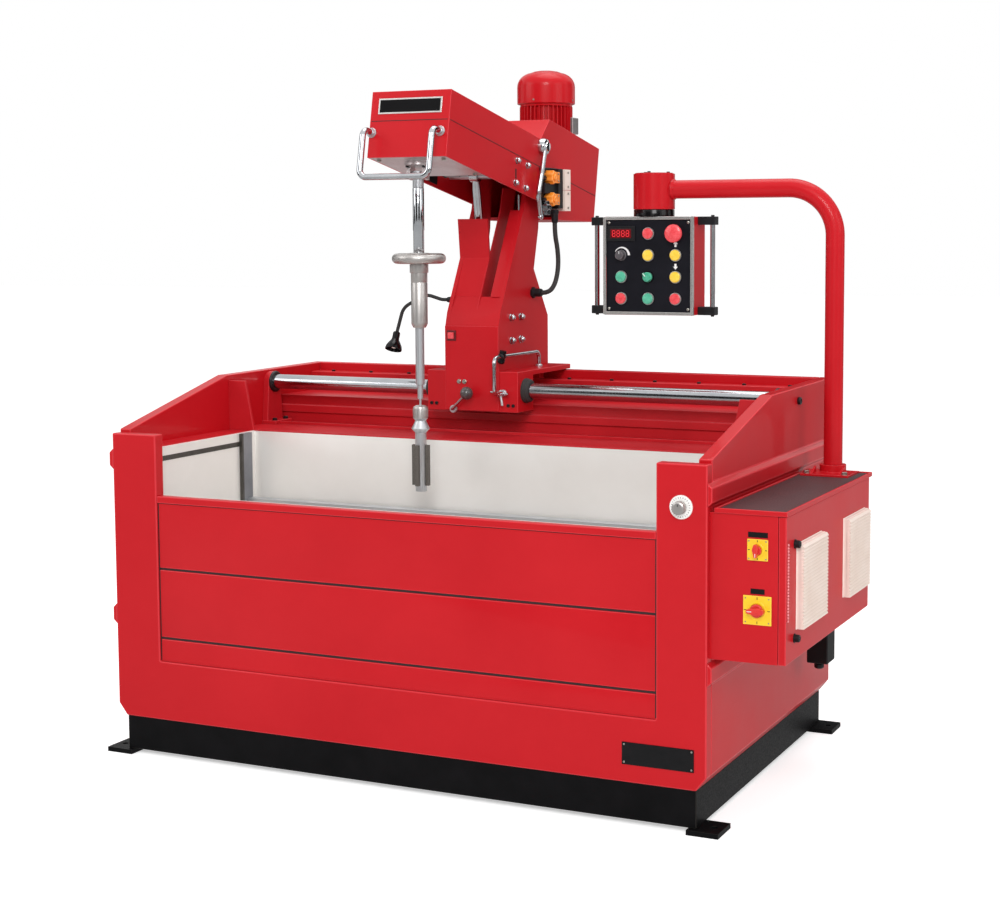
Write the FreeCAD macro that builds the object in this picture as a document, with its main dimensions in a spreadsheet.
"""Vertical cylinder honing machine with a rocking head, as a parametric document.

Frame: origin on the floor at the centre of the four floor bolts, +X to the machine's
right as its operator sees it, +Y to the back, +Z up. Lengths are millimetres.
"""
import FreeCAD
import Part
import Sketcher
import math
import os
import re

PI = math.pi
Vector = FreeCAD.Vector
DOC = FreeCAD.newDocument("honing_machine")
SHEET = DOC.addObject("Spreadsheet::Sheet", "Sizes")
NODES = []

# Driving dimensions: name, value and what it measures.
SIZES = [
    ("foot_thick", 11, "levelling foot plate"),
    ("foot_wide", 71, "foot plate along X"),
    ("foot_deep", 79, "foot plate along Y"),
    ("bolt_radius", 7, "floor bolt hole"),
    ("body_wide", 1500, "body over its side panels"),
    ("body_deep", 900, "body front to back"),
    ("plinth_high", 81, "black plinth"),
    ("plinth_inset", 23, "plinth behind the side panels"),
    ("sheet_gauge", 30, "boxed body panels"),
    ("hem_high", 29, "sloped lower hem of the side panels"),
    ("front_high", 773, "body height at the front corners"),
    ("knee_high", 880, "body height at the knee"),
    ("knee_y", -23, "knee of the side panels"),
    ("back_high", 884, "body height at the back"),
    ("rib_proud", 10.5, "swaged ribs on the side panels"),
    ("rib_tall", 50, "swaged rib height"),
    ("rib_low_z", 313, "lower rib, lower edge"),
    ("rib_top_z", 686, "upper rib, lower edge"),
    ("post_left", 124, "left front post width"),
    ("post_right", 112, "right front post width"),
    ("apron_high", 233, "top of the apron under the front panel"),
    ("panel_high", 628, "top of the front panel"),
    ("panel_recess", 5, "front panel behind the posts"),
    ("panel_gauge", 19.5, "front panel thickness"),
    ("groove_low_z", 289, "lower groove of the front panel"),
    ("groove_top_z", 455, "upper groove of the front panel"),
    ("groove_tall", 7, "groove height"),
    ("groove_deep", 6, "groove depth"),
    ("tank_back", -15, "inside of the tank, back"),
    ("tank_floor", 480, "tank floor"),
    ("tank_top", 739, "top of the tank walls"),
    ("liner_gauge", 4.5, "stainless tank wall"),
    ("deck_gauge", 6, "red deck plates"),
    ("work_rail_high", 570, "top of the work rails"),
    ("work_rail_wide", 30, "work rail width"),
    ("work_rail_deep", 38, "work rail depth"),
    ("beam_front", 225, "front of the rear beam"),
    ("bar_radius", 19, "round guide bar"),
    ("bar_y", 169, "guide bar"),
    ("bar_support_wide", 45, "guide bar end support"),
    ("bar_support_deep", 82, "guide bar end support"),
    ("bar_support_top", 30, "end support above the bar"),
    ("gusset_foot", 75, "end gusset width at the bottom"),
    ("gusset_head", 50, "end gusset width at the top"),
    ("dial_radius", 25, "feed dial"),
    ("dial_z", 684, "feed dial"),
    ("knob_radius", 14, "feed dial knob"),
    ("cabinet_deep", 163, "electrical cabinet off the side panel"),
    ("cabinet_top", 675, "electrical cabinet"),
    ("door_gauge", 16.5, "cabinet door"),
    ("door_gap", 1, "gap round the cabinet door"),
    ("hinge_radius", 4.5, "cabinet door hinge"),
    ("hinge_sunk", 1.5, "hinge barrel let into the cabinet's edge"),
    ("grille_wide", 176, "filter grille"),
    ("grille_proud", 18, "filter grille"),
    ("switch_boss", 12, "round boss of the switch knobs"),
    ("post_radius", 22, "pendant arm tube"),
    ("post_base_high", 22, "post base ring"),
    ("arm_z", 1346, "pendant arm tube, level run"),
    ("arm_bend", 112, "pendant arm bend radius"),
    ("hub_radius", 50, "pendant hub"),
    ("pendant_wide", 232, "pendant box"),
    ("pendant_deep", 80, "pendant box"),
    ("button_radius", 12, "push buttons"),
    ("button_pitch_x", 70, "push buttons, columns apart"),
    ("button_pitch_z", 52, "push buttons, rows apart"),
    ("button_low", 39, "lowest push buttons over the box's lower edge"),
    ("grip_block_past", 10.5, "grip block past its bar"),
    ("grip_radius", 6, "pendant grip bars"),
    ("grip_out", 34, "grip bar off the pendant box"),
    ("running_gap", 0.3, "gap between faces that turn on each other"),
    ("saddle_mid", -85, "middle of the carriage, column and head"),
    ("saddle_wide", 254, "carriage over its bearing housings"),
    ("housing_wide", 52, "one bearing housing"),
    ("housing_deep", 90, "bearing housing"),
    ("saddle_gauge", 12, "saddle plate"),
    ("bar_clear", 0.05, "radial clearance of the bearings"),
    ("rail_y", 375, "rear flat rail, front"),
    ("rail_wide", 30, "rear flat rail"),
    ("column_wide", 150, "column over its cheeks"),
    ("cheek_gauge", 10.5, "column cheek"),
    ("pivot_radius", 15, "head pivot shaft"),
    ("boss_radius", 27, "cheek boss round the pivot"),
    ("head_tilt", 10.9, "nose-up tilt of the head at rest, degrees"),
    ("head_wide", 210, "head over its side plates"),
    ("head_front", 524, "front of the head from the pivot"),
    ("head_back", 334, "back of the head from the pivot"),
    ("head_top", 13.5, "front part's top over the pivot"),
    ("head_low", 144, "front part's underside below the pivot"),
    ("hood_top", 75, "rear part's top over the pivot"),
    ("plate_gauge", 4.5, "head plates"),
    ("spindle_along", 462, "universal joint pin ahead of the pivot, along the head"),
    ("flange_radius", 33, "bearing flange under the nose"),
    ("ear_out", 20.5, "fork ear from the spindle's middle"),
    ("ear_gauge", 9, "fork ear"),
    ("ear_deep", 24, "fork ear"),
    ("yoke_pin_radius", 5, "universal joint pin"),
    ("joint_down", 171, "universal joint pin below the pivot, square to the head"),
    ("shaft_radius", 13.5, "drive shaft"),
    ("ring_radius", 64, "feed ring"),
    ("ring_thick", 27, "feed ring"),
    ("hone_radius", 18, "hone"),
    ("barrel_eye_wide", 33, "lower eye of the hydraulic cylinder"),
    ("barrel_long", 202, "hydraulic cylinder barrel"),
    ("rod_below", 98, "end of the piston rod over the lower bearing at rest"),
    ("rod_eye_wide", 22, "upper eye of the piston rod"),
    ("trunnion_radius", 10.5, "lower bearing pins of the hydraulic cylinder"),
    ("rod_end_along", 124, "upper bearing of the piston rod, ahead of the pivot"),
    ("rod_end_down", 99, "upper bearing of the piston rod, below the pivot"),
    ("cylinder_offset", 28, "hydraulic cylinder left of the column's middle"),
    ("barrel_radius", 18, "hydraulic cylinder"),
    ("rod_radius", 10.5, "piston rod"),
    ("rod_clear", 3.75, "piston rod inside the barrel"),
    ("motor_radius", 78, "spindle motor body"),
    ("cowl_radius", 86, "spindle motor cowl"),
    ("cable_radius", 6, "head cable"),
    ("fin_tall", 11, "motor fins"),
    ("fin_gauge", 3, "motor fins"),
    ("motor_collar", 14, "plain collar under the cowl"),
    ("slat_deep", 5, "slats of the filter grilles"),
    ("lid_rim", 5, "raised rim of the cabinet's lid"),
    ("lid_recess", 4, "tray in the cabinet's lid"),
    ("meter_wide", 72, "panel meter"),
    ("meter_tall", 36, "panel meter"),
    ("stop_radius", 20, "emergency stop's head"),
    ("gland_radius", 10, "cable glands"),
    ("gland_long", 28, "cable gland on the column"),
    ("gland_ahead", 25, "cable gland ahead of the pivot"),
    ("gland_up", 191, "cable gland over the column's foot"),
    ("clamp_out", 53, "clamp bar ahead of the carriage's front"),
    ("clamp_up", 39, "clamp bar over the saddle plate"),
    ("clamp_behind", 204, "clamp bar's back leg behind the carriage's front"),
    ("clamp_aside", 13.75, "clamp bar beside the column"),
    ("clamp_bend", 16.5, "clamp bar's bends"),
    ("clamp_radius", 5, "clamp bar"),
    ("lever_left", 50, "lock lever left of the column's middle"),
    ("lever_up", 4, "lock lever over the housing's lower face"),
    ("lever_radius", 3.75, "lock lever"),
    ("lever_ball", 14, "lock lever's ball"),
    ("lamp_up", 30, "lamp over the column's front slope"),
    ("lamp_neck", 4.5, "lamp neck"),
    ("shade_radius", 28, "lamp shade"),
    ("shade_long", 46, "lamp shade"),
    ("lever_hub", 21, "hub of the head's lever"),
    ("head_lever_radius", 4.5, "head's lever"),
    ("foot_inset", 6, "foot plate centre in from the body's side"),
    ("foot_setback", 30, "foot plate centre in from the body's front and back"),
    ("bolt_out", 8, "floor bolt hole out from the body's side"),
    ("tank_ledge", 75, "ledge between the tank and each side panel"),
    ("tank_apron", 45, "tank behind the body's front"),
    ("work_rail_first", 105, "front work rail behind the tank's front"),
    ("work_rail_last", 45, "back work rail ahead of the tank's back"),
    ("bar_over_deck", 111, "guide bar's middle over the deck"),
    ("saddle_over_bar", 37, "saddle plate over the guide bar's middle"),
    ("housing_under_bar", 52, "bearing housing below the guide bar's middle"),
    ("rail_under_saddle", 25, "rear rail below the saddle plate"),
    ("rail_tall", 52, "rear rail over its beam"),
    ("saddle_past_rail", 67, "saddle plate behind the rear rail's front"),
    ("column_past_rail", 38, "column behind the rear rail's front"),
    ("pivot_behind_bar", 175, "head pivot behind the guide bar"),
    ("pivot_over_saddle", 575, "head pivot over the saddle plate"),
    ("trunnion_behind_bar", 101, "lower cylinder bearing behind the guide bar"),
    ("trunnion_over_saddle", 115, "lower cylinder bearing over the saddle plate"),
    ("brow_up", 113, "plumb part of the column's front"),
    ("brow_tall", 33, "first slope of the column's front"),
    ("brow_deep", 10, "first slope of the column's front"),
    ("cover_up", 39, "front skin above its slope"),
    ("cover_deep", 42, "front cover's lower edge behind the column's front"),
    ("cover_slope", 96, "front cover below its waist"),
    ("cover_waist", 89, "front cover's waist behind the column's front"),
    ("cover_rise", 99, "front cover above its waist"),
    ("cover_lip", 78, "front cover's upper edge behind the column's front"),
    ("skin_gauge", 8, "front skin and back plate of the column"),
    ("cover_gauge", 7, "front cover"),
    ("cheek_drop", 161, "bend in the cheek's front edge below the pivot"),
    ("cheek_ahead", 74, "bend in the cheek's front edge ahead of the pivot"),
    ("back_up", 129, "plumb part of the column's back"),
    ("back_slope", 123, "slope of the column's back"),
    ("back_rise", 105, "waist of the column's back"),
    ("waist_ahead", 15, "waist of the column's back ahead of the pivot"),
    ("neck_behind", 13.5, "neck of the column's back behind the pivot"),
    ("flange_wide", 38, "slanted flange beside the slot"),
    ("flange_deep", 31, "slanted flange's foot behind the column's front"),
    ("flange_gauge", 9, "slanted flange"),
    ("motor_behind_pivot", 224, "spindle motor behind the pivot"),
    ("cowl_over_pivot", 128, "cowl's lower rim over the pivot"),
    ("ring_below_pivot", 278, "feed ring below the pivot"),
    ("shaft_below_pivot", 112, "drive shaft's upper end below the pivot"),
    ("sleeve_collar", 20.5, "collar of the feed sleeve"),
    ("sleeve_long", 120, "straight part of the feed sleeve"),
    ("sleeve_cone", 9, "cone of the feed sleeve"),
    ("sleeve_radius", 19.5, "feed sleeve"),
    ("collar_radius", 22, "collar of the feed sleeve"),
    ("shank_long", 136, "thin length of the drive shaft"),
    ("shank_radius", 10.5, "thin length of the drive shaft"),
    ("chuck_long", 49, "chuck between drive shaft and hone"),
    ("gusset_tall", 127, "end gusset over the deck"),
    ("cabinet_setback", 16, "cabinet behind the body's front"),
    ("cabinet_long", 648, "electrical cabinet front to back"),
    ("cabinet_tall", 305, "electrical cabinet"),
    ("lid_gauge", 10, "cabinet lid"),
    ("grille_first", 155, "front filter grille behind the cabinet's front"),
    ("grille_second", 505, "back filter grille behind the cabinet's front"),
    ("grille_up", 151, "filter grilles over the cabinet's floor"),
    ("switch_out", 103, "switches out from the side panel"),
    ("main_switch_up", 110, "lower switch over the cabinet's floor"),
    ("pump_switch_up", 234, "upper switch over the cabinet's floor"),
    ("dial_inset", 56, "feed dial in from the body's side"),
    ("post_out", 80, "arm post out from the side panel"),
    ("post_inset", 26, "arm post ahead of the cabinet's back"),
    ("arm_reach", 450, "pendant hub from the post"),
    ("hub_over_arm", 38, "pendant hub over the arm's middle"),
    ("hub_under_arm", 47, "pendant hub below the arm's middle"),
    ("swivel_long", 18, "swivel between hub and pendant box"),
    ("pendant_tall", 235, "pendant box"),
]

# Sizes that follow from the driving ones.
FOLLOWS = [
    ("foot_mid_x", "body_wide/2 - foot_inset", "foot plate centre from the middle"),
    ("foot_mid_y", "body_deep/2 - foot_setback", "foot plate centre from the middle"),
    ("bolt_x", "body_wide/2 + bolt_out", "floor bolt hole from the middle"),
    ("tank_half", "body_wide/2 - sheet_gauge - tank_ledge", "inside of the tank, half width"),
    ("tank_front", "tank_apron - body_deep/2", "inside of the tank, front"),
    ("work_rail_front", "tank_front + work_rail_first", "front work rail"),
    ("work_rail_back", "tank_back - work_rail_last", "back work rail"),
    ("bar_z", "tank_top + bar_over_deck", "round guide bar, middle"),
    ("saddle_z", "bar_z + saddle_over_bar", "underside of the saddle plate"),
    ("housing_low", "bar_z - housing_under_bar", "bearing housing, lower face"),
    ("housing_front", "bar_y - housing_deep/2", "front of the carriage"),
    ("rail_top", "saddle_z - rail_under_saddle", "rear flat rail"),
    ("beam_high", "rail_top - rail_tall", "top of the rear beam"),
    ("saddle_back", "rail_y + saddle_past_rail", "back of the saddle plate"),
    ("column_back", "rail_y + column_past_rail", "back of the column"),
    ("pivot_y", "bar_y + pivot_behind_bar", "head pivot"),
    ("pivot_z", "saddle_z + pivot_over_saddle", "head pivot"),
    ("trunnion_y", "bar_y + trunnion_behind_bar", "lower bearing of the hydraulic cylinder"),
    ("trunnion_z", "saddle_z + trunnion_over_saddle", "lower bearing of the hydraulic cylinder"),
    ("column_floor", "saddle_z + saddle_gauge", "foot of the column"),
    ("brow_low_z", "column_floor + brow_up", "column front, start of the slope"),
    ("brow_top_z", "brow_low_z + brow_tall", "column front, end of the slope"),
    ("cover_low_z", "brow_top_z + cover_up", "front cover, lower edge"),
    ("cover_mid_z", "cover_low_z + cover_slope", "front cover, waist"),
    ("cover_top_z", "cover_mid_z + cover_rise", "front cover, upper edge"),
    ("cheek_top_z", "pivot_z - cheek_drop", "cheek's front edge where it turns to the pivot"),
    ("back_low_z", "column_floor + back_up", "column back, end of the plumb part"),
    ("back_mid_z", "back_low_z + back_slope", "column back, waist"),
    ("back_top_z", "back_mid_z + back_rise", "column back, end of the waist"),
    ("motor_y", "pivot_y + motor_behind_pivot", "spindle motor"),
    ("cowl_z", "pivot_z + cowl_over_pivot", "spindle motor cowl, lower rim"),
    ("ring_z", "pivot_z - ring_below_pivot", "feed ring"),
    ("shaft_top_z", "pivot_z - shaft_below_pivot", "drive shaft, upper end"),
    ("sleeve_top_z", "ring_z - ring_thick/2", "feed sleeve, upper end"),
    ("sleeve_step_z", "sleeve_top_z - sleeve_collar", "feed sleeve, under its collar"),
    ("sleeve_cone_z", "sleeve_step_z - sleeve_long", "feed sleeve, start of its cone"),
    ("sleeve_low_z", "sleeve_cone_z - sleeve_cone", "feed sleeve, lower end"),
    ("shank_low_z", "sleeve_low_z - shank_long", "drive shaft's thin length, lower end"),
    ("hone_top_z", "shank_low_z - chuck_long", "hone, upper end"),
    ("gusset_top_z", "tank_top + gusset_tall", "end gusset top"),
    ("gland_x", "saddle_mid + column_wide/2", "cable gland's seat on the column"),
    ("cabinet_front", "cabinet_setback - body_deep/2", "electrical cabinet"),
    ("cabinet_back", "cabinet_front + cabinet_long", "electrical cabinet"),
    ("cabinet_low", "cabinet_top - cabinet_tall", "electrical cabinet"),
    ("grille_front_y", "cabinet_front + grille_first", "front filter grille, middle"),
    ("grille_back_y", "cabinet_front + grille_second", "back filter grille, middle"),
    ("grille_z", "cabinet_low + grille_up", "filter grilles, middle"),
    ("switch_x", "body_wide/2 + switch_out", "switch plates, middle"),
    ("main_switch_z", "cabinet_low + main_switch_up", "lower switch, middle"),
    ("pump_switch_z", "cabinet_low + pump_switch_up", "upper switch, middle"),
    ("dial_x", "body_wide/2 - dial_inset", "feed dial"),
    ("post_x", "body_wide/2 + post_out", "pendant arm post"),
    ("post_y", "cabinet_back - post_inset", "pendant arm post"),
    ("pendant_x", "post_x - arm_reach", "pendant hub"),
    ("hub_top", "arm_z + hub_over_arm", "pendant hub"),
    ("hub_low", "arm_z - hub_under_arm", "pendant hub"),
    ("pendant_top", "hub_low - swivel_long", "pendant box"),
    ("pendant_low", "pendant_top - pendant_tall", "pendant box"),
]


def fill_sheet():
    """Write the driving dimensions into the sheet, each with its alias and note."""
    rows = SIZES + [(name, "=" + rule, note) for name, rule, note in FOLLOWS]
    for row, (name, value, note) in enumerate(rows, start=1):
        SHEET.set("A%d" % row, name)
        SHEET.set("B%d" % row, str(value))
        SHEET.setAlias("B%d" % row, name)
        SHEET.set("C%d" % row, note)
    DOC.recompute()


fill_sheet()
NAMES = re.compile(r"\b(" + "|".join(name for name, _, _ in SIZES + FOLLOWS) + r")\b")


def bound(text):
    """Give an expression's text with each size pointed at the sheet."""
    return NAMES.sub(r"Sizes.\1", str(text))


def size(name):
    """Read one driving dimension."""
    return float(SHEET.get(name))


def node(item, label):
    """Name a finished sub-part and list it for writing."""
    item.Label = label
    NODES.append(item)
    return item


def place(item, where):
    """Bind an item's position to three expressions."""
    for axis, text in zip("xyz", where):
        item.setExpression(".Placement.Base." + axis, bound(text))
    return item


def block(name, xs, ys, zs):
    """Make a box between pairs of expressions."""
    item = DOC.addObject("Part::Box", name)
    for key, (low, high) in zip(("Length", "Width", "Height"), (xs, ys, zs)):
        item.setExpression(key, bound("(%s) - (%s)" % (high, low)))
    return place(item, (xs[0], ys[0], zs[0]))


AXIS_TURN = {
    "x": FreeCAD.Rotation(Vector(0, 1, 0), 90),
    "y": FreeCAD.Rotation(Vector(1, 0, 0), -90),
    "z": FreeCAD.Rotation(),
}


def disc(name, axis, radius, start, length):
    """Make a cylinder from a start point along one axis."""
    item = DOC.addObject("Part::Cylinder", name)
    item.setExpression("Radius", bound(radius))
    item.setExpression("Height", bound(length))
    item.Placement = FreeCAD.Placement(Vector(), AXIS_TURN[axis])
    return place(item, start)


def cut(name, base, tools):
    """Cut one or more tools from a base."""
    for number, tool in enumerate(tools):
        item = DOC.addObject("Part::Cut", "%s_%d" % (name, number))
        item.Base = base
        item.Tool = tool
        base = item
    return base


def fuse(name, parts):
    """Join touching pieces into one solid."""
    item = DOC.addObject("Part::MultiFuse", name)
    item.Shapes = parts
    item.Refine = True
    return item


def group(name, parts):
    """Keep pieces that do not touch in one sub-part."""
    item = DOC.addObject("Part::Compound", name)
    item.Links = parts
    return item


def plane_of(body, role):
    """Find one of a body's own origin planes."""
    return [item for item in body.Origin.OriginFeatures if item.Role == role][0]


def outline(body, role, points, start="0"):
    """Draw a closed outline whose corners are bound to expressions."""
    sketch = body.newObject("Sketcher::SketchObject", body.Name + "_outline")
    sketch.AttachmentSupport = [(plane_of(body, role), "")]
    sketch.MapMode = "FlatFace"
    sketch.setExpression("AttachmentOffset.Base.z", bound(start))
    count = len(points)
    ring = [Vector(math.cos(2 * PI * i / count), math.sin(2 * PI * i / count), 0) for i in range(count)]
    for i in range(count):
        sketch.addGeometry(Part.LineSegment(ring[i], ring[(i + 1) % count]), False)
    for i in range(count):
        sketch.addConstraint(Sketcher.Constraint("Coincident", i, 2, (i + 1) % count, 1))
    for i, pair in enumerate(points):
        for kind, text, here in zip(("DistanceX", "DistanceY"), pair, (ring[i].x, ring[i].y)):
            slot = sketch.addConstraint(Sketcher.Constraint(kind, -1, 1, i, 1, here))
            sketch.setExpression("Constraints[%d]" % slot, bound(text))
    return sketch


def prism(name, role, points, start, length):
    """Pad an outline on an origin plane: XZ pads towards -Y, YZ towards +X, XY towards +Z."""
    body = DOC.addObject("PartDesign::Body", name)
    sketch = outline(body, role, points, start)
    pad = body.newObject("PartDesign::Pad", name + "_pad")
    pad.Profile = sketch
    pad.setExpression("Length", bound(length))
    return body


def turned(name, points, where, axis="z"):
    """Revolve an outline of (radius, height) corners about an upright axis at a point."""
    body = DOC.addObject("PartDesign::Body", name)
    sketch = outline(body, "XZ_Plane", points)
    spin = body.newObject("PartDesign::Revolution", name + "_turn")
    spin.Profile = sketch
    spin.ReferenceAxis = (sketch, ["V_Axis"])
    spin.Angle = 360
    body.Placement = FreeCAD.Placement(Vector(), AXIS_TURN[axis])
    return place(body, where)


def tube_path(points, bend):
    """Make a wire of straight runs joined by tangent arcs."""
    edges = []
    here = points[0]
    for corner, after in zip(points[1:-1], points[2:]):
        inward = (here - corner).normalize()
        outward = (after - corner).normalize()
        turn = PI - inward.getAngle(outward)
        reach = bend * math.tan(turn / 2)
        first = corner + inward * reach
        last = corner + outward * reach
        middle = (inward + outward).normalize() * (bend / math.cos(turn / 2) - bend)
        edges.append(Part.LineSegment(here, first).toShape())
        edges.append(Part.Arc(first, corner + middle, last).toShape())
        here = last
    edges.append(Part.LineSegment(here, points[-1]).toShape())
    return Part.Wire(edges)


def tube(points, bend, radius):
    """Sweep a round bar along straight runs and tangent arcs."""
    spine = tube_path(points, bend)
    run = (points[1] - points[0]).normalize()
    ring = Part.Wire(Part.Circle(points[0], run, radius).toShape())
    return spine.makePipeShell([ring], True, False)


def free_tube(points, radius):
    """Sweep a cord's tube along its route, each arc as large as its two runs allow."""
    edges = []
    here = points[0]
    for before, corner, after in zip(points, points[1:-1], points[2:]):
        inward = (before - corner).normalize()
        outward = (after - corner).normalize()
        turn = PI - inward.getAngle(outward)
        reach = 0.45 * min((before - corner).Length, (after - corner).Length)
        bend = reach / math.tan(turn / 2)
        first = corner + inward * reach
        last = corner + outward * reach
        middle = (inward + outward).normalize() * (bend / math.cos(turn / 2) - bend)
        edges.append(Part.LineSegment(here, first).toShape())
        edges.append(Part.Arc(first, corner + middle, last).toShape())
        here = last
        print("cable bend radius %.0f mm" % bend)
    edges.append(Part.LineSegment(here, points[-1]).toShape())
    spine = Part.Wire(edges)
    ring = Part.Wire(Part.Circle(points[0], (points[1] - points[0]).normalize(), radius).toShape())
    solid = spine.makePipeShell([ring], True, False)
    print("cable length %.0f mm, volume share %.4f" % (spine.Length, solid.Volume / (PI * radius**2 * spine.Length)))
    return solid


def ball(centre, radius):
    """Make a ball as a stack of cones, with few facets."""
    steps = 8
    angles = [PI * i / steps - PI / 2 for i in range(steps + 1)]
    corners = [centre + Vector(radius * math.cos(a), 0, radius * math.sin(a)) for a in angles]
    corners[0] = centre - Vector(0, 0, radius)
    corners[-1] = centre + Vector(0, 0, radius)
    face = Part.Face(Part.makePolygon(corners + [corners[0]]))
    return face.revolve(centre, Vector(0, 0, 1), 360)


def shaped(name, shape):
    """Put a shape made with Part's functions in the document."""
    item = DOC.addObject("Part::Feature", name)
    item.Shape = shape
    return item


def on_head(item):
    """Seat a piece drawn level round the pivot at the head's tilt."""
    item.setExpression(".Placement.Rotation.Angle", bound("-head_tilt"))
    item.setExpression(".Placement.Rotation.Axis.x", "1")
    item.setExpression(".Placement.Rotation.Axis.y", "0")
    item.setExpression(".Placement.Rotation.Axis.z", "0")
    return place(item, ("saddle_mid", "pivot_y", "pivot_z"))


def head_point(along, up, across=0.0):
    """Turn a point of the level head into the machine's frame."""
    tilt = math.radians(size("head_tilt"))
    return Vector(
        size("saddle_mid") + across,
        size("pivot_y") + along * math.cos(tilt) + up * math.sin(tilt),
        size("pivot_z") - along * math.sin(tilt) + up * math.cos(tilt),
    )


# Floor, plinth and body panels.
def make_base():
    feet = []
    for side in ("", "-"):
        for end in ("", "-"):
            tag = ("right" if side == "" else "left") + ("_back" if end == "" else "_front")
            plate = block(
                "foot_" + tag,
                ("%s foot_mid_x - foot_wide/2" % side, "%s foot_mid_x + foot_wide/2" % side),
                ("%s foot_mid_y - foot_deep/2" % end, "%s foot_mid_y + foot_deep/2" % end),
                ("0", "foot_thick"),
            )
            hole = disc("bolt_" + tag, "z", "bolt_radius", (side + "bolt_x", end + "foot_mid_y", "-0.75"), "foot_thick + 1.5")
            feet.append(cut("footplate_" + tag, plate, [hole]))
    node(group("feet_set", feet), "levelling_feet")
    node(
        block(
            "plinth_box",
            ("-body_wide/2 + plinth_inset", "body_wide/2 - plinth_inset"),
            ("-body_deep/2 + 4.5", "body_deep/2 - 4.5"),
            ("foot_thick", "foot_thick + plinth_high"),
        ),
        "plinth",
    )
    low = "foot_thick + plinth_high"
    half = "body_wide/2"
    front = prism(
        "front_frame_body",
        "XZ_Plane",
        [
            ("-%s + plinth_inset" % half, low),
            ("%s - plinth_inset" % half, low),
            (half, low + " + hem_high"),
            (half, "front_high"),
            (half + " - post_right", "front_high"),
            (half + " - post_right", "apron_high"),
            ("-%s + post_left" % half, "apron_high"),
            ("-%s + post_left" % half, "front_high"),
            ("-" + half, "front_high"),
            ("-" + half, low + " + hem_high"),
        ],
        "body_deep/2 - sheet_gauge",
        "sheet_gauge",
    )
    node(front, "front_frame")
    for side, word in ((1, "right"), (-1, "left")):
        panel = prism(
            "side_panel_body_" + word,
            "YZ_Plane",
            [
                ("-body_deep/2 + sheet_gauge", low),
                ("body_deep/2", low),
                ("body_deep/2", "back_high"),
                ("knee_y", "knee_high"),
                ("-body_deep/2 + sheet_gauge", "front_high + sheet_gauge*(knee_high - front_high)/(knee_y + body_deep/2)"),
            ],
            "%d*(body_wide/2) - %s" % (side, "sheet_gauge" if side > 0 else "0"),
            "sheet_gauge",
        )
        corner = [
            ("%d*(body_wide/2 + 0.75)" % side, low + " - 0.75"),
            ("%d*(body_wide/2 + 0.75)" % side, low + " + hem_high + hem_high/plinth_inset"),
            ("%d*(body_wide/2 - plinth_inset - plinth_inset/hem_high)" % side, low + " - 0.75"),
        ]
        hem = prism("hem_cut_" + word, "XZ_Plane", corner, "-body_deep/2 - 0.75", "body_deep + 1.5")
        pieces = [cut("side_hemmed_" + word, panel, [hem])]
        for level in ("rib_low_z", "rib_top_z"):
            rib = [
                ("%d*body_wide/2" % side, level),
                ("%d*(body_wide/2 + rib_proud)" % side, level + " + rib_tall*0.2"),
                ("%d*(body_wide/2 + rib_proud)" % side, level + " + rib_tall*0.8"),
                ("%d*body_wide/2" % side, level + " + rib_tall"),
            ]
            pieces.append(prism("rib_%s_%s" % (level[4:7], word), "XZ_Plane", rib, "-body_deep/2", "body_deep"))
        node(fuse("side_panel_fused_" + word, pieces), "side_panel_" + word)
    edge = "body_wide/2 - sheet_gauge"
    node(
        block("back_panel_box", ("-(%s)" % edge, edge), ("body_deep/2 - sheet_gauge", "body_deep/2"), (low, "back_high")),
        "back_panel",
    )
    face = "body_deep/2 - panel_recess"
    panel = prism(
        "front_panel_body",
        "YZ_Plane",
        [
            ("-(%s)" % face, "apron_high + running_gap"),
            ("-(%s) + panel_gauge" % face, "apron_high + running_gap"),
            ("-(%s) + panel_gauge" % face, "panel_high"),
            ("-(%s) + 3" % face, "panel_high"),
            ("-(%s)" % face, "panel_high - 3"),
            ("-(%s)" % face, "groove_top_z + groove_tall/2"),
            ("-(%s) + groove_deep" % face, "groove_top_z"),
            ("-(%s)" % face, "groove_top_z - groove_tall/2"),
            ("-(%s)" % face, "groove_low_z + groove_tall/2"),
            ("-(%s) + groove_deep" % face, "groove_low_z"),
            ("-(%s)" % face, "groove_low_z - groove_tall/2"),
        ],
        "-body_wide/2 + post_left + running_gap",
        "body_wide - post_left - post_right - 2*running_gap",
    )
    node(panel, "front_panel")


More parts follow.
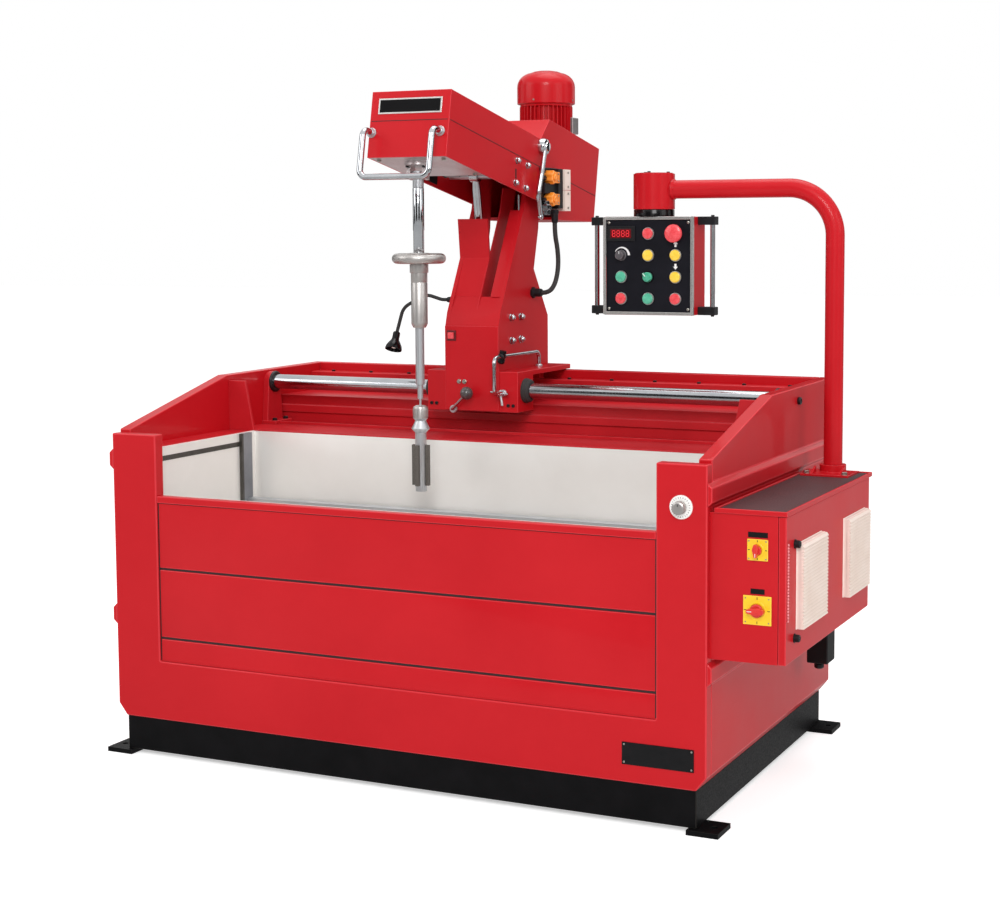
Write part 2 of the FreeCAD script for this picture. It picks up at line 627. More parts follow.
# Tank, deck, beam and guide bar.
def make_tank():
    wall = "liner_gauge"
    outer = block(
        "liner_outer",
        ("-tank_half - " + wall, "tank_half + " + wall),
        ("tank_front - " + wall, "tank_back + " + wall),
        ("tank_floor - " + wall, "tank_top"),
    )
    inner = block(
        "liner_inner", ("-tank_half", "tank_half"), ("tank_front", "tank_back"), ("tank_floor", "tank_top + 7.5")
    )
    notch = block(
        "liner_notch",
        ("-tank_half", "tank_half"),
        ("tank_front - 7.5", "tank_front + 0.75"),
        ("panel_high - 3", "tank_top + 7.5"),
    )
    node(cut("tank_liner_cut", outer, [inner, notch]), "tank_liner")
    rails = []
    for word in ("front", "back"):
        edge = "work_rail_" + word
        rails.append(
            block(
                "rail_" + word,
                ("-tank_half", "tank_half"),
                (edge, edge + " + work_rail_wide"),
                ("work_rail_high - work_rail_deep", "work_rail_high"),
            )
        )
    node(group("work_rails_set", rails), "work_rails")
    inside = "body_wide/2 - sheet_gauge"
    decks = []
    gussets = []
    supports = []
    for side, word in ((1, "right"), (-1, "left")):
        ends = [("%d*(tank_half + liner_gauge)" % side), ("%d*(%s)" % (side, inside))]
        if side < 0:
            ends.reverse()
        decks.append(
            block(
                "ledge_" + word,
                ends,
                ("-body_deep/2 + sheet_gauge", "tank_back + liner_gauge"),
                ("tank_top - 34", "tank_top"),
            )
        )
        gusset = [
            ("%d*(%s)" % (side, inside), "tank_top"),
            ("%d*(%s - gusset_foot)" % (side, inside), "tank_top"),
            ("%d*(%s - gusset_head)" % (side, inside), "gusset_top_z"),
            ("%d*(%s)" % (side, inside), "gusset_top_z"),
        ]
        gussets.append(prism("gusset_body_" + word, "XZ_Plane", gusset, "-(tank_back + liner_gauge) - 0.5", "8"))
        ends = [("%d*(%s - bar_support_wide)" % (side, inside)), ("%d*(%s)" % (side, inside))]
        if side < 0:
            ends.reverse()
        support = block(
            "support_" + word,
            ends,
            ("bar_y - bar_support_deep/2", "bar_y + bar_support_deep/2"),
            ("tank_top", "bar_z + bar_radius + bar_support_top"),
        )
        bore = disc("support_bore_" + word, "x", "bar_radius", ("-body_wide/2", "bar_y", "bar_z"), "body_wide")
        supports.append(cut("support_cut_" + word, support, [bore]))
    node(group("support_set", supports), "bar_supports")
    node(group("gusset_set", gussets), "end_gussets")
    decks.append(
        block(
            "deck_box",
            ("-(%s)" % inside, inside),
            ("tank_back + liner_gauge", "beam_front"),
            ("tank_top - deck_gauge", "tank_top"),
        )
    )
    node(fuse("deck_fused", decks), "deck_plates")
    beam = prism(
        "beam_body",
        "YZ_Plane",
        [
            ("beam_front", "tank_top - 45"),
            ("body_deep/2 - sheet_gauge", "tank_top - 45"),
            ("body_deep/2 - sheet_gauge", "rail_top"),
            ("rail_y", "rail_top"),
            ("rail_y", "beam_high"),
            ("beam_front", "beam_high"),
            ("beam_front", "beam_high - 26"),
            ("beam_front - 7.5", "beam_high - 26"),
            ("beam_front - 7.5", "beam_high - 45"),
            ("beam_front", "beam_high - 45"),
        ],
        "-(%s)" % inside,
        "2*(%s)" % inside,
    )
    node(beam, "rear_beam")
    node(disc("bar", "x", "bar_radius", ("-(%s)" % inside, "bar_y", "bar_z"), "2*(%s)" % inside), "guide_bar")
    face = "-body_deep/2"
    node(disc("dial_disc", "y", "dial_radius", ("dial_x", face + " - 5", "dial_z"), "5"), "feed_dial")
    node(disc("dial_turn", "y", "knob_radius", ("dial_x", face + " - 24", "dial_z"), "19 - running_gap"), "dial_knob")


SLAT_COUNT = 19


# Electrical cabinet on the right side panel.
def make_cabinet():
    wall = "body_wide/2"
    face = wall + " + cabinet_deep"
    shell = block(
        "cabinet_outer",
        (wall, face + " - door_gauge - door_gap"),
        ("cabinet_front", "cabinet_back"),
        ("cabinet_low", "cabinet_top"),
    )
    lid = block(
        "lid_plate",
        (wall + " + rib_proud", face + " + 3"),
        ("cabinet_front - 4.5", "cabinet_back + 4.5"),
        ("cabinet_top", "cabinet_top + lid_gauge"),
    )
    tray = block(
        "lid_tray",
        (wall + " + rib_proud + lid_rim", face + " + 3 - lid_rim"),
        ("cabinet_front - 4.5 + lid_rim", "cabinet_back + 4.5 - lid_rim"),
        ("cabinet_top + lid_gauge - lid_recess", "cabinet_top + lid_gauge + 1"),
    )
    node(cut("lid_cut", lid, [tray]), "cabinet_lid")
    door = block(
        "door_leaf",
        (face + " - door_gauge", face),
        ("cabinet_front", "cabinet_back - 2*hinge_radius - running_gap"),
        ("cabinet_low", "cabinet_top - door_gap"),
    )
    node(door, "cabinet_door")
    barrels = [
        disc(
            "hinge_%s" % word,
            "z",
            "hinge_radius",
            (face + " - door_gauge - door_gap + hinge_radius - hinge_sunk", "cabinet_back - hinge_radius", low),
            "45",
        )
        for word, low in (("low", "cabinet_low + 30"), ("high", "cabinet_top - 75"))
    ]
    node(fuse("cabinet_fused", [shell] + barrels), "cabinet")
    grilles = []
    for word in ("front", "back"):
        mid = "grille_%s_y" % word
        low = "grille_z - grille_wide/2"
        teeth = [(face, low), (face + " + grille_proud - slat_deep", low)]
        for slat in range(SLAT_COUNT):
            teeth.append((face + " + grille_proud", low + " + %d*grille_wide/%d + 1" % (slat, SLAT_COUNT)))
            teeth.append((face + " + grille_proud - slat_deep", low + " + %d*grille_wide/%d" % (slat + 1, SLAT_COUNT)))
        teeth.append((face, low + " + grille_wide"))
        grille = prism("grille_body_" + word, "XZ_Plane", teeth, "-(%s) - grille_wide/2" % mid, "grille_wide")
        grilles.append(grille)
    node(group("grilles_set", grilles), "filter_grilles")
    plates = []
    for word, level, half, proud in (("main", "main_switch_z", 30, 3.75), ("pump", "pump_switch_z", 22, 3.75)):
        plate = block(
            word + "_plate",
            ("switch_x - %d" % half, "switch_x + %d" % half),
            ("cabinet_front - %d" % proud, "cabinet_front"),
            (level + " - %d" % half, level + " + %d" % half),
        )
        plates.append(plate)
        grip = prism(
            word + "_grip_body",
            "XZ_Plane",
            [
                ("switch_x - %d" % (half * 0.62), level + " - 7"),
                ("switch_x + %d" % (half * 0.62), level + " - 7"),
                ("switch_x + %d" % (half * 0.62), level + " + 7"),
                ("switch_x - %d" % (half * 0.62), level + " + 7"),
            ],
            "-cabinet_front + %d + running_gap" % proud,
            "16.5",
        )
        start = ("switch_x", "cabinet_front - %d - running_gap - 8" % proud, level)
        boss = disc(word + "_knob_boss", "y", "switch_boss", start, "8")
        node(fuse(word + "_knob_fused", [boss, grip]), word + "_switch_knob")
    node(group("switch_plates_set", plates), "switch_plates")
    locks = [
        disc("lock_" + word, "x", "8", (face, "cabinet_front + 58", level), "12")
        for word, level in (("high", "cabinet_top - 64"), ("low", "cabinet_low + 46"))
    ]
    node(group("locks_set", locks), "door_locks")
    node(
        block(
            "junction_box_block",
            (wall + " + rib_proud + 4.5", wall + " + 68"),
            ("cabinet_back - 68", "cabinet_back"),
            ("cabinet_low - 82", "cabinet_low"),
        ),
        "junction_box",
    )


# Controls that are not push buttons, by column and row.
BUTTONS = {(0, 3): "meter", (2, 3): "stop", (0, 2): "dial", (1, 1): "turn"}


# Pendant arm and control box.
def make_pendant():
    base = "cabinet_top + lid_gauge - lid_recess"
    node(
        fuse(
            "arm_socket_fused",
            [
                block(
                    "socket_plate",
                    ("post_x - 57", "post_x + 57"),
                    ("post_y - 75", "post_y + 22"),
                    (base, base + " + 6"),
                ),
                disc("socket_ring", "z", "post_radius + 9", ("post_x", "post_y", base + " + 6"), "post_base_high - 6"),
            ],
        ),
        "arm_socket",
    )
    start = Vector(size("post_x"), size("post_y"), size("cabinet_top") + size("lid_gauge") - size("lid_recess") + size("post_base_high") + size("running_gap"))
    elbow = Vector(size("post_x"), size("post_y"), size("arm_z"))
    end = Vector(size("pendant_x") + size("hub_radius") - 4.5, size("post_y"), size("arm_z"))
    arm = tube([start, elbow, end], size("arm_bend"), size("post_radius"))
    hub = Part.makeCylinder(
        size("hub_radius"),
        size("hub_top") - size("hub_low"),
        Vector(size("pendant_x"), size("post_y"), size("hub_low")),
    )
    node(shaped("arm_tube_shape", arm.fuse(hub).removeSplitter()), "pendant_arm")
    node(
        disc("swivel_disc", "z", "hub_radius - 9", ("pendant_x", "post_y", "pendant_top"), "hub_low - pendant_top - running_gap"),
        "pendant_swivel",
    )
    half = "pendant_wide/2"
    ys = ("post_y - pendant_deep/2", "post_y + pendant_deep/2")
    shell = block("pendant_shell", ("pendant_x - " + half, "pendant_x + " + half), ys, ("pendant_low", "pendant_top"))
    recess = block(
        "pendant_recess",
        ("pendant_x - %s + 7" % half, "pendant_x + %s - 7" % half),
        ("post_y - pendant_deep/2 - 0.75", "post_y - pendant_deep/2 + 3.75"),
        ("pendant_low + 7", "pendant_top - 7"),
    )
    node(cut("pendant_box_cut", shell, [recess]), "pendant_box")
    node(
        block(
            "panel_plate",
            ("pendant_x - %s + 7" % half, "pendant_x + %s - 7" % half),
            ("post_y - pendant_deep/2 + 1.5", "post_y - pendant_deep/2 + 3.75"),
            ("pendant_low + 7", "pendant_top - 7"),
        ),
        "control_panel",
    )
    buttons = []
    skin = "post_y - pendant_deep/2 + 1.5"
    for column in range(3):
        for row in range(4):
            x_mid = "pendant_x + (%d)*button_pitch_x" % (column - 1)
            z_mid = "pendant_low + button_low + %d*button_pitch_z" % row
            kind = BUTTONS.get((column, row), "push")
            tag = "%s_%d_%d" % (kind, column, row)
            if kind == "meter":
                meter = block(
                    tag,
                    (x_mid + " - meter_wide/2", x_mid + " + meter_wide/2"),
                    (skin + " - 5", skin),
                    (z_mid + " - meter_tall/2", z_mid + " + meter_tall/2"),
                )
                buttons.append(meter)
                continue
            proud = {"stop": 12, "dial": 16}.get(kind, 10.5)
            reach = "button_radius*0.9" if kind == "stop" else "button_radius"
            pieces = [disc(tag, "y", reach, (x_mid, "%s - %s" % (skin, proud), z_mid), str(proud))]
            if kind == "stop":
                pieces.append(disc(tag + "_head", "y", "stop_radius", (x_mid, skin + " - 24", z_mid), "12"))
            if kind == "turn":
                grip = block(
                    tag + "_grip",
                    (x_mid + " - 3.5", x_mid + " + 3.5"),
                    (skin + " - 20", skin + " - 10"),
                    (z_mid + " - button_radius", z_mid + " + button_radius"),
                )
                pieces.append(grip)
            buttons.append(fuse(tag + "_fused", pieces) if len(pieces) > 1 else pieces[0])
    node(group("buttons_set", buttons), "control_buttons")
    blocks = []
    bars = []
    for side, word in ((1, "right"), (-1, "left")):
        x_bar = "pendant_x + %d*(%s + grip_out)" % (side, half)
        ends = ["pendant_x + %d*%s" % (side, half), "%s + %d*grip_block_past" % (x_bar, side)]
        if side < 0:
            ends.reverse()
        for level, zs in (
            ("low", ("pendant_low", "pendant_low + 20")),
            ("high", ("pendant_top - 20", "pendant_top")),
        ):
            blocks.append(block("grip_block_%s_%s" % (word, level), ends, ("post_y - 12", "post_y + 12"), zs))
        bars.append(
            disc(
                "grip_bar_" + word,
                "z",
                "grip_radius",
                (x_bar, "post_y", "pendant_low + 20"),
                "pendant_top - pendant_low - 40",
            )
        )
    node(group("grip_blocks_set", blocks), "grip_blocks")
    node(group("grip_bars_set", bars), "grip_bars")


# Carriage on the guide bar, with the column's cheeks.
def make_carriage():
    mid = "saddle_mid"
    half = "saddle_wide/2"
    housings = []
    for side in (-1, 1):
        outer = "%s + %d*%s" % (mid, side, half)
        inner = "%s + %d*(%s - housing_wide)" % (mid, side, half)
        ends = (outer, inner) if side < 0 else (inner, outer)
        housings.append(
            block(
                "housing_%s" % ("left" if side < 0 else "right"),
                ends,
                ("housing_front", "housing_front + housing_deep"),
                ("housing_low", "saddle_z"),
            )
        )
    plate = block(
        "saddle_plate",
        ("%s - %s" % (mid, half), "%s + %s" % (mid, half)),
        ("housing_front", "saddle_back"),
        ("saddle_z", "saddle_z + saddle_gauge"),
    )
    web = block(
        "housing_web",
        ("%s - %s" % (mid, half), "%s + %s" % (mid, half)),
        ("housing_front", "housing_front + 15"),
        ("housing_low", "saddle_z"),
    )
    shoe = block(
        "rear_shoe",
        ("%s - 68" % mid, "%s + 68" % mid),
        ("rail_y + 3", "rail_y + rail_wide - 3"),
        ("rail_top + running_gap", "saddle_z"),
    )
    bore = disc("saddle_bore", "x", "bar_radius + bar_clear", ("-body_wide/2", "bar_y", "bar_z"), "body_wide")
    node(cut("carriage_cut", fuse("carriage_fused", housings + [web, plate, shoe]), [bore]), "carriage")
    seals = []
    for side in (-1, 1):
        start = "%s + %d*%s" % (mid, side, half) + ("" if side > 0 else " - 16.5")
        ring = disc("seal_%d" % side, "x", "bar_radius + 12", (start, "bar_y", "bar_z"), "16.5")
        seals.append(cut("seal_cut_%d" % side, ring, [disc("seal_bore_%d" % side, "x", "bar_radius + bar_clear", ("-body_wide/2", "bar_y", "bar_z"), "body_wide")]))
    node(group("seals_set", seals), "bearing_seals")
    front = "housing_front"
    cheek = [
        (front, "column_floor"),
        ("column_back", "column_floor"),
        ("column_back", "back_low_z"),
        ("pivot_y - waist_ahead", "back_mid_z"),
        ("pivot_y + neck_behind", "back_top_z"),
        ("pivot_y + boss_radius", "pivot_z"),
        ("pivot_y + boss_radius*0.5", "pivot_z + boss_radius*0.86"),
        ("pivot_y - boss_radius*0.5", "pivot_z + boss_radius*0.86"),
        ("pivot_y - boss_radius", "pivot_z"),
        ("pivot_y - cheek_ahead", "cheek_top_z"),
        (front + " + brow_deep", "brow_top_z"),
        (front, "brow_low_z"),
    ]
    pivot_hole = disc("pivot_hole", "x", "pivot_radius + bar_clear", ("-body_wide/2", "pivot_y", "pivot_z"), "body_wide")
    walls = []
    for side, word in ((1, "right"), (-1, "left")):
        start = mid + (" + column_wide/2 - cheek_gauge" if side > 0 else " - column_wide/2")
        plate = prism("cheek_body_" + word, "YZ_Plane", cheek, start, "cheek_gauge")
        walls.append(cut("cheek_cut_" + word, plate, [pivot_hole]))
    inner = "column_wide - 2*cheek_gauge"
    left = mid + " - column_wide/2 + cheek_gauge"
    right = mid + " + column_wide/2 - cheek_gauge"
    skin = [
        (front, "column_floor"),
        (front + " + skin_gauge", "column_floor"),
        (front + " + skin_gauge", "brow_low_z"),
        (front + " + brow_deep + skin_gauge", "brow_top_z"),
        (front + " + cover_deep", "cover_low_z"),
        (front + " + cover_deep - skin_gauge*0.8", "cover_low_z"),
        (front + " + brow_deep", "brow_top_z"),
        (front, "brow_low_z"),
    ]
    walls.append(prism("front_skin_body", "YZ_Plane", skin, left, inner))
    walls.append(
        block(
            "column_back_plate",
            (left, right),
            ("column_back - skin_gauge", "column_back"),
            ("column_floor", "back_low_z"),
        )
    )
    cover = [
        (front + " + cover_deep - cover_gauge", "cover_low_z"),
        (front + " + cover_deep", "cover_low_z"),
        (front + " + cover_waist", "cover_mid_z"),
        (front + " + cover_lip", "cover_top_z"),
        (front + " + cover_lip - cover_gauge", "cover_top_z"),
        (front + " + cover_waist - cover_gauge", "cover_mid_z"),
    ]
    walls.append(prism("cover_body", "YZ_Plane", cover, mid + " - column_wide/2", "column_wide/2 + 9"))
    flange = [
        (front + " + flange_deep", "cover_low_z"),
        (front + " + flange_deep + flange_gauge", "cover_low_z"),
        ("pivot_y - cheek_ahead + flange_gauge - 1", "cheek_top_z"),
        ("pivot_y - cheek_ahead", "cheek_top_z"),
    ]
    walls.append(prism("flange_body", "YZ_Plane", flange, right + " - (flange_wide - cheek_gauge)", "flange_wide - cheek_gauge"))
    reach = "column_wide/2 - cheek_gauge"
    for side in (-1, 1):
        foot = "- cylinder_offset %s (barrel_eye_wide/2 + running_gap)" % ("+" if side > 0 else "-")
        low, high = ("(%s)" % foot, reach) if side > 0 else ("-(%s)" % reach, "(%s)" % foot)
        walls.append(
            disc(
                "trunnion_%s" % ("right" if side > 0 else "left"),
                "x",
                "trunnion_radius",
                (mid + " + " + low, "trunnion_y", "trunnion_z"),
                "%s - (%s)" % (high, low),
            )
        )
    node(fuse("column_fused", walls), "column")
    node(
        disc("stop_rod_disc", "z", "5", (mid + " + 40", "pivot_y - 28", "column_floor"), "443"),
        "stop_rod",
    )
    face = size("housing_front")
    floor = size("column_floor")
    low = size("bar_z") - 4
    ahead = face - size("clamp_out")
    high = floor + size("clamp_up")
    behind = face + size("clamp_behind")
    across = size("saddle_mid") + size("column_wide") / 2 + size("clamp_aside")
    grip = [
        Vector(across, face, low),
        Vector(across, ahead, low),
        Vector(across, ahead, high),
        Vector(across, behind, high),
        Vector(across, behind, floor),
    ]
    node(shaped("clamp_bar_shape", tube(grip, size("clamp_bend"), size("clamp_radius"))), "clamp_bar")
    start = Vector(size("saddle_mid") - size("lever_left"), face, size("housing_low") + size("lever_up"))
    knee = start + Vector(0, -17, 0)
    end = knee + Vector(47, -11, 40)
    lever = tube([start, knee, end], 6, size("lever_radius"))
    knob = ball(end + Vector(2, -1, 3), size("lever_ball"))
    hub = Part.makeCylinder(size("lever_ball") - 4, 10.5, start, Vector(0, -1, 0))
    node(shaped("lock_lever_shape", lever.fuse([knob, hub]).removeSplitter()), "lock_lever")
    root = Vector(size("saddle_mid") - size("column_wide") / 2, face + 42, size("brow_top_z") + size("lamp_up"))
    bends = [Vector(0, 0, 0), Vector(-32, 0, 0), Vector(-76, -6, 14), Vector(-137, -14, -22), Vector(-155, -18, -88)]
    neck = [root + step for step in bends]
    lamp_pieces = [shaped("lamp_neck_shape", tube(neck, 45, size("lamp_neck")))]
    shade = turned(
        "shade_turned",
        [
            ("lamp_neck + 0.5", "0"),
            ("shade_radius - 13", "0"),
            ("shade_radius - 10", "-shade_long*0.33"),
            ("shade_radius", "-shade_long"),
            ("shade_radius - 2", "-shade_long"),
            ("shade_radius - 13", "-shade_long*0.33"),
            ("0", "-shade_long*0.2"),
            ("0", "0"),
        ],
        tuple(str(value) for value in neck[-1]),
    )
    lamp_pieces.append(shade)
    node(group("lamp_set", lamp_pieces), "lamp")
    gland_y = "pivot_y - gland_ahead"
    gland_z = "column_floor + gland_up"
    node(disc("column_gland_disc", "x", "gland_radius", ("gland_x", gland_y, gland_z), "gland_long"), "column_gland")
    mouth = Vector(
        size("gland_x") + size("gland_long"),
        size("pivot_y") - size("gland_ahead"),
        size("column_floor") + size("gland_up"),
    )
    steps = [
        Vector(0, 0, 0),
        Vector(15, 0, 0),
        Vector(26, 11, 12),
        Vector(28, 29, 36),
        Vector(27, 43, 72),
        Vector(25, 42, 113),
        Vector(22, 32, 150),
        Vector(22, 32, 179),
    ]
    route = [mouth + step for step in steps]
    cable = free_tube(route, size("cable_radius"))
    node(shaped("cable_shape", cable), "head_cable")


FIN_COUNT = 24


def fin(name, angle, low, high):
    """Stand one cooling fin on the motor's body at an angle round its shaft."""
    item = DOC.addObject("Part::Box", name)
    turn = math.radians(angle)
    inner = "(motor_radius - fin_tall - 3)"
    item.setExpression("Length", bound("fin_tall + 3"))
    item.setExpression("Width", bound("fin_gauge"))
    item.setExpression("Height", bound("(%s) - (%s)" % (high, low)))
    item.Placement = FreeCAD.Placement(Vector(), FreeCAD.Rotation(Vector(0, 0, 1), angle))
    where = (
        "saddle_mid + %s*(%.9f) + fin_gauge/2*(%.9f)" % (inner, math.cos(turn), math.sin(turn)),
        "motor_y + %s*(%.9f) - fin_gauge/2*(%.9f)" % (inner, math.sin(turn), math.cos(turn)),
        low,
    )
    return place(item, where)


# Rocking head with its drive.
def make_head():
    wide = "head_wide"
    profile = [
        ("-head_front", "-head_low"),
        ("-head_front", "head_top"),
        ("-37", "head_top"),
        ("7.5", "hood_top"),
        ("head_back", "hood_top"),
        ("head_back", "-129"),
        ("75", "-174"),
        ("75", "-head_low"),
    ]
    gauge = "plate_gauge"
    hollow = [
        ("-head_front + %s" % gauge, "-head_low - 45"),
        ("-head_front + %s" % gauge, "head_top - " + gauge),
        ("-37", "head_top - " + gauge),
        ("7.5", "hood_top - " + gauge),
        ("head_back - " + gauge, "hood_top - " + gauge),
        ("head_back - " + gauge, "-120"),
        ("82", "-165"),
        ("82", "-head_low - 45"),
    ]
    outer = prism("head_outer", "YZ_Plane", profile, "-head_wide/2", wide)
    inner = prism("head_inner", "YZ_Plane", hollow, "-head_wide/2 + " + gauge, wide + " - 2*" + gauge)
    hole = disc("head_pivot_hole", "x", "pivot_radius", ("-head_wide", "0", "0"), "2*head_wide")
    node(on_head(cut("head_shell_cut", outer, [inner, hole])), "head_housing")
    inside = ("-head_wide/2 + " + gauge, "head_wide/2 - " + gauge)
    nose = block("nose_plate_box", inside, ("-head_front + " + gauge, "-322"), ("-head_low", "-head_low + 9"))
    flange = disc("nose_flange", "z", "flange_radius", ("0", "-spindle_along", "-head_low - 10.5"), "12")
    ears = [
        block(
            "nose_ear_%d" % side,
            ("%d*ear_out - ear_gauge/2" % side, "%d*ear_out + ear_gauge/2" % side),
            ("-spindle_along - ear_deep/2", "-spindle_along + ear_deep/2"),
            ("-joint_down - ear_deep/2", "-head_low - 10"),
        )
        for side in (-1, 1)
    ]
    pin_hole = disc("nose_pin_hole", "x", "yoke_pin_radius + bar_clear", ("-45", "-spindle_along", "-joint_down"), "90")
    node(on_head(cut("nose_cut", fuse("nose_fused", [nose, flange] + ears), [pin_hole])), "nose_bearing")
    shaft = disc(
        "pivot_shaft_disc", "x", "pivot_radius", ("saddle_mid - head_wide/2", "pivot_y", "pivot_z"), "head_wide"
    )
    pins = [shaft]
    reach = "head_wide/2 - plate_gauge"
    rod_y = "pivot_y - rod_end_along*cos(head_tilt) - rod_end_down*sin(head_tilt)"
    rod_z = "pivot_z + rod_end_along*sin(head_tilt) - rod_end_down*cos(head_tilt)"
    for way in (-1, 1):
        eye = "- cylinder_offset %s (rod_eye_wide/2 + running_gap)" % ("+" if way > 0 else "-")
        low, high = ("(%s)" % eye, reach) if way > 0 else ("-(%s)" % reach, "(%s)" % eye)
        pins.append(
            disc(
                "rod_pin_%s" % ("right" if way > 0 else "left"),
                "x",
                "9",
                ("saddle_mid + " + low, rod_y, rod_z),
                "%s - (%s)" % (high, low),
            )
        )
    node(group("head_pin_set", pins), "head_pins")
    core = "motor_radius - fin_tall"
    foot = "pivot_z + 8"
    collar = "cowl_z - motor_collar"
    motor = turned(
        "motor_body_turned",
        [
            ("0", foot),
            (core, foot),
            (core, collar),
            ("motor_radius", collar),
            ("motor_radius", "cowl_z"),
            ("0", "cowl_z"),
        ],
        ("saddle_mid", "motor_y", "0"),
    )
    fins = [fin("motor_fin_%d" % number, number * 360 / FIN_COUNT, foot, collar) for number in range(FIN_COUNT)]
    below = [
        ("0", "hood_top - 150"),
        ("2*head_back", "hood_top - 150"),
        ("2*head_back", "hood_top"),
        ("0", "hood_top"),
    ]
    seat = on_head(prism("motor_seat", "YZ_Plane", below, "-head_wide", "2*head_wide"))
    node(cut("motor_cut", fuse("motor_fused", [motor] + fins), [seat]), "motor_body")
    cowl = turned(
        "motor_cowl_turned",
        [
            ("0", "cowl_z"),
            ("cowl_radius", "cowl_z"),
            ("cowl_radius", "cowl_z + 46"),
            ("cowl_radius - 10.5", "cowl_z + 74"),
            ("cowl_radius - 34", "cowl_z + 86"),
            ("0", "cowl_z + 88"),
        ],
        ("saddle_mid", "motor_y", "0"),
    )
    node(cowl, "motor_cowl")
    side = size("saddle_mid") + size("head_wide") / 2
    gap = size("running_gap")
    root = Vector(side, size("pivot_y") - 30, size("pivot_z"))
    hub = Part.makeCylinder(size("lever_hub"), 18, root + Vector(gap, 0, 0), Vector(1, 0, 0))
    bends = [Vector(12, -5, -11), Vector(22, -35, -67), Vector(19.5, -50, -120), Vector(15, -40, -170)]
    arm = tube([root + step for step in bends], 38, size("head_lever_radius"))
    tip = ball(root + Vector(14, -37, -178), 8)
    node(shaped("head_lever_shape", hub.fuse([arm, tip]).removeSplitter()), "head_lever")
    skin = "saddle_mid + head_wide/2"
    boxes = [
        block(
            "limit_block",
            (skin, skin + " + 30"),
            ("pivot_y - 46", "pivot_y + 58"),
            ("pivot_z - 158", "pivot_z - 52"),
        ),
        block(
            "terminal_block",
            (skin, skin + " + 26"),
            ("pivot_y + 59", "pivot_y + 115"),
            ("pivot_z - 162", "pivot_z - 54"),
        ),
    ]
    node(group("switch_box_set", boxes), "head_switch_boxes")
    gland_z = "column_floor + gland_up + 179"
    node(
        disc(
            "head_gland_disc",
            "z",
            "gland_radius - 1",
            ("gland_x + gland_long + 22", "pivot_y - gland_ahead + 32", gland_z),
            "pivot_z - 158 - (%s) - 1" % gland_z,
        ),
        "head_gland",
    )
    bar = size("head_front")
    grip = [
        head_point(-bar, -56, -96),
        head_point(-bar - 34, -56, -96),
        head_point(-bar - 34, -188, -96),
        head_point(-bar - 34, -188, 82),
        head_point(-bar - 34, -56, 82),
        head_point(-bar, -56, 82),
    ]
    node(shaped("nose_handle_shape", tube(grip, 18, 7.5)), "nose_handle")


# The plumb spindle's place follows from the universal joint in the tilted head.
SPINDLE_Y = "pivot_y - spindle_along*cos(head_tilt) - joint_down*sin(head_tilt)"
JOINT_Z = "pivot_z + spindle_along*sin(head_tilt) - joint_down*cos(head_tilt)"


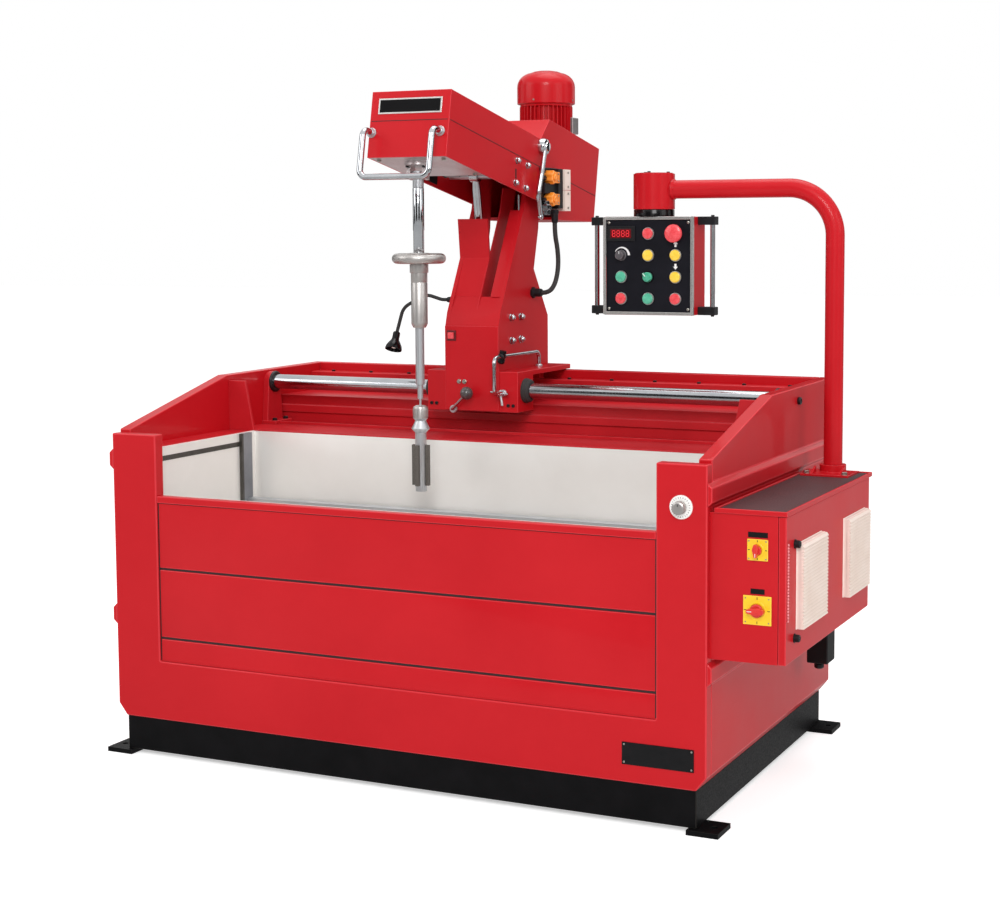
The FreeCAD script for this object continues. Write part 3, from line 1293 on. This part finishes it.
# Drive shaft, feed ring and hone under the head's nose.
def make_spindle():
    mid = "saddle_mid"
    line = (mid, SPINDLE_Y, "0")
    node(
        fuse(
            "yoke_fused",
            [
                disc("yoke_pin", "x", "yoke_pin_radius", (mid + " - ear_out - 6.5", SPINDLE_Y, JOINT_Z), "2*ear_out + 13"),
                disc("yoke_body", "z", "13", (mid, SPINDLE_Y, "shaft_top_z"), JOINT_Z + " - shaft_top_z + 7"),
            ],
        ),
        "joint_yoke",
    )
    shaft = [
        ("0", "shaft_top_z - running_gap"),
        ("shaft_radius", "shaft_top_z - running_gap"),
        ("shaft_radius", "sleeve_low_z"),
        ("shank_radius", "sleeve_low_z"),
        ("shank_radius", "shank_low_z"),
        ("shank_radius*0.66", "shank_low_z"),
        ("shank_radius*0.66", "hone_top_z + 16"),
        ("shank_radius*0.3", "hone_top_z + 16"),
        ("shank_radius*0.3", "hone_top_z"),
        ("0", "hone_top_z"),
    ]
    node(turned("shaft_turned", shaft, line), "drive_shaft")
    sleeve = [
        ("shaft_radius", "sleeve_low_z"),
        ("shaft_radius + 1.5", "sleeve_low_z"),
        ("sleeve_radius", "sleeve_cone_z"),
        ("sleeve_radius", "sleeve_step_z"),
        ("collar_radius", "sleeve_step_z"),
        ("collar_radius", "sleeve_top_z"),
        ("shaft_radius", "sleeve_top_z"),
    ]
    node(turned("sleeve_turned", sleeve, line), "feed_sleeve")
    section = [(0.0, -0.5), (0.29, -0.41), (0.5, 0.0), (0.29, 0.41), (0.0, 0.5), (-0.3, 0.38), (-0.4, 0.0), (-0.3, -0.38)]
    rim = [("ring_radius - ring_thick/2 + ring_thick*%s" % out, "ring_z + ring_thick*%s" % up) for out, up in section]
    ring = turned("feed_ring_rim", rim, line)
    hub = disc("ring_hub", "z", "24", (mid, SPINDLE_Y, "ring_z - ring_thick/2"), "27")
    reach = "ring_radius - 15"
    spokes = [
        block("spoke_x", (mid + " - (%s)" % reach, mid + " + " + reach), (SPINDLE_Y + " - 6", SPINDLE_Y + " + 6"), ("ring_z - 4.5", "ring_z + 4.5")),
        block("spoke_y", (mid + " - 6", mid + " + 6"), (SPINDLE_Y + " - (%s)" % reach, SPINDLE_Y + " + " + reach), ("ring_z - 4.5", "ring_z + 4.5")),
    ]
    bore = disc("ring_bore", "z", "shaft_radius", (mid, SPINDLE_Y, "ring_z - 75"), "150")
    node(cut("feed_ring_cut", fuse("feed_ring_fused", [ring, hub] + spokes), [bore]), "feed_ring")
    hone = [
        ("0", "hone_top_z - 206"),
        ("hone_radius - 4.5", "hone_top_z - 206"),
        ("hone_radius - 4.5", "hone_top_z - 64"),
        ("hone_radius + 4", "hone_top_z - 55"),
        ("hone_radius - 5", "hone_top_z - 36"),
        ("hone_radius - 1.5", "hone_top_z - 31"),
        ("hone_radius", "hone_top_z - 4"),
        ("shank_radius", "hone_top_z"),
        ("0", "hone_top_z"),
    ]
    node(turned("hone_turned", hone, line), "hone_body")
    stones = []
    for number, (way_x, way_y) in enumerate(((-1, 0), (1, 0), (0, -1), (0, 1))):
        mid_x = "%s + %d*hone_radius" % (mid, way_x)
        mid_y = SPINDLE_Y + " + %d*hone_radius" % way_y
        stones.append(block("stone_%d" % number, (mid_x + " - 4.5", mid_x + " + 4.5"), (mid_y + " - 4.5", mid_y + " + 4.5"), ("hone_top_z - 191", "hone_top_z - 94")))
    node(group("stones_set", stones), "hone_stones")


# Hydraulic cylinder that rocks the head.
def make_cylinder():
    across = -size("cylinder_offset")
    top = head_point(-size("rod_end_along"), -size("rod_end_down"), across)
    foot = Vector(size("saddle_mid") + across, size("trunnion_y"), size("trunnion_z"))
    run = top - foot
    unit = Vector(run)
    unit.normalize()
    side = Vector(1, 0, 0)
    rod_radius = size("rod_radius")
    barrel_long = size("barrel_long")
    eye_wide = size("barrel_eye_wide")
    bore = Part.makeCylinder(rod_radius + size("rod_clear"), barrel_long, foot + unit * 45, unit)
    neck = size("trunnion_radius") + 1.5
    barrel = Part.makeCylinder(size("barrel_radius"), barrel_long - neck, foot + unit * neck, unit)
    eye = Part.makeCylinder(19.5, eye_wide, foot - side * (eye_wide / 2), side)
    node(shaped("barrel_shape", barrel.fuse(eye).cut(bore).removeSplitter()), "cylinder_barrel")
    below = size("rod_below")
    rod = Part.makeCylinder(rod_radius, run.Length - below, foot + unit * below, unit)
    eye_wide = size("rod_eye_wide")
    head_eye = Part.makeCylinder(16.5, eye_wide, top - side * (eye_wide / 2), side)
    node(shaped("rod_shape", rod.fuse(head_eye).removeSplitter()), "piston_rod")


def write_nodes():
    """Check every object, then write each sub-part to its file."""
    DOC.recompute()
    for item in DOC.Objects:
        bad = [word for word in item.State if word in ("Invalid", "Error")]
        if bad:
            raise RuntimeError("%s (%s) is %s" % (item.Name, item.Label, bad))
    os.makedirs("parts", exist_ok=True)
    for item in NODES:
        shape = item.Shape
        if shape.isNull() or not shape.isValid() or not shape.Solids:
            raise RuntimeError("%s has no valid solid" % item.Label)
        shape.exportStep(os.path.join("parts", item.Label + ".step"))
    print("wrote", len(NODES), "sub-parts")


make_base()
make_tank()
make_cabinet()
make_pendant()
make_carriage()
make_head()
make_spindle()
make_cylinder()
write_nodes()
